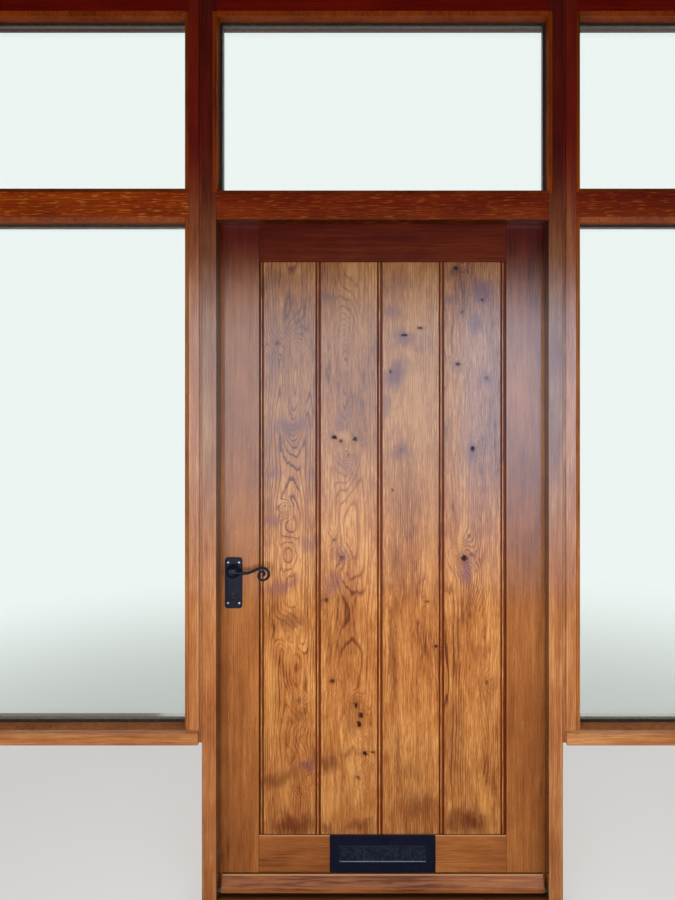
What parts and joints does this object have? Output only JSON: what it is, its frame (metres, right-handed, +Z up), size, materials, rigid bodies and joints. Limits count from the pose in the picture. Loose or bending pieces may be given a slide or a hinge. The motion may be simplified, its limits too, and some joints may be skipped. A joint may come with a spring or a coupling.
{
  "type": "entrance door with sidelights",
  "caption": "Boarded wooden entrance door that opens inwards, with weatherboard, letter plate and curled lever, in a frame with a glazed toplight and a glazed sidelight at each side.",
  "frame": {"origin": "underside of the threshold, midway between the posts, level with the frame's outer face", "axes": "+X to the right as seen from outside, +Y into the building, +Z up"},
  "size_m": [2.471, 0.159, 2.72],
  "materials": {
    "oak_frame": "stained oak, satin",
    "oak_posts": "stained oak, satin",
    "oak_beads": "stained oak, satin",
    "oak_strips": "stained oak, satin",
    "oak_threshold": "stained oak, satin",
    "oak_leaf": "stained oak, satin",
    "oak_boards": "stained oak with strong figure and knots, satin",
    "clear_glass": "polished",
    "spacer_bronze": "anodised, matt",
    "bare_aluminium": "extruded",
    "black_seal": "matt",
    "black_iron": "black, lightly textured",
    "steel": "satin",
    "lock_steel": "zinc plated"
  },
  "bodies": {
    "frame": {"left_post": "oak_posts", "right_post": "oak_posts", "frame_head": "oak_frame", "frame_transom": "oak_frame", "threshold": "oak_threshold", "water_bar": "bare_aluminium", "frame_seal": "black_seal", "strike_plate": "steel", "joint_strips": "oak_strips", "hinge_frame_leaves": "steel", "hinge_pins": "steel", "left_inner_jamb": "oak_frame", "left_outer_jamb": "oak_frame", "left_head": "oak_frame", "left_transom": "oak_frame", "left_sill": "oak_frame", "right_inner_jamb": "oak_frame", "right_outer_jamb": "oak_frame", "right_head": "oak_frame", "right_transom": "oak_frame", "right_sill": "oak_frame", "toplight_beads": "oak_beads", "left_beads": "oak_beads", "right_beads": "oak_beads", "toplight_glass": "clear_glass", "left_upper_glass": "clear_glass", "left_lower_glass": "clear_glass", "right_upper_glass": "clear_glass", "right_lower_glass": "clear_glass", "glass_spacers": "spacer_bronze", "glazing_seals": "black_seal"},
    "door_leaf": {"lock_stile": "oak_leaf", "hinge_stile": "oak_leaf", "top_rail": "oak_leaf", "middle_rail": "oak_leaf", "bottom_rail": "oak_leaf", "board_1": "oak_boards", "board_2": "oak_boards", "board_3": "oak_boards", "board_4": "oak_boards", "weatherboard": "oak_boards", "hinge_door_leaves": "steel", "lock_case": "lock_steel", "lock_faceplate": "steel", "outer_backplate": "black_iron", "inner_backplate": "black_iron", "letter_plate": "black_iron", "flap_pin": "steel", "inner_letter_plate": "black_iron"},
    "handle": {"outer_lever": "black_iron", "inner_lever": "black_iron", "spindle": "lock_steel", "lock_follower": "lock_steel"},
    "latch": {"latch_bolt": "steel"},
    "deadbolt": {"deadbolt": "steel"},
    "outer_flap": {"letter_flap": "black_iron"},
    "inner_flap": {"inner_letter_flap": "black_iron"}
  },
  "joints": [
    {"name": "door_swing", "type": "hinge", "parent": "frame", "child": "door_leaf", "pos_m": [0.496, 0.109, 1.056], "axis": [0, 0, -1], "range_deg": [0, 100]},
    {"name": "lever_turn", "type": "hinge", "parent": "door_leaf", "child": "handle", "pos_m": [-0.446, 0.077, 1.01], "axis": [0, 1, 0], "range_deg": [0, 40], "stiffness_Nm_per_rad": 1, "springref_deg": -17.19},
    {"name": "latch_slide", "type": "slide", "parent": "door_leaf", "child": "latch", "axis": [1, 0, 0], "range_m": [0, 0.012]},
    {"name": "deadbolt_throw", "type": "slide", "parent": "door_leaf", "child": "deadbolt", "axis": [-1, 0, 0], "range_m": [0, 0.014]},
    {"name": "outer_flap_swing", "type": "hinge", "parent": "door_leaf", "child": "outer_flap", "pos_m": [0, 0.0555, 0.18395], "axis": [1, 0, 0], "range_deg": [0, 75], "stiffness_Nm_per_rad": 0.2, "springref_deg": -28.65},
    {"name": "inner_flap_swing", "type": "hinge", "parent": "door_leaf", "child": "inner_flap", "pos_m": [0, 0.1095, 0.19635], "axis": [1, 0, 0], "range_deg": [0, 80]}
  ],
  "couplings": [
    {"joint": "latch_slide", "follows": "lever_turn", "m_per_rad": 0.0171}
  ]
}
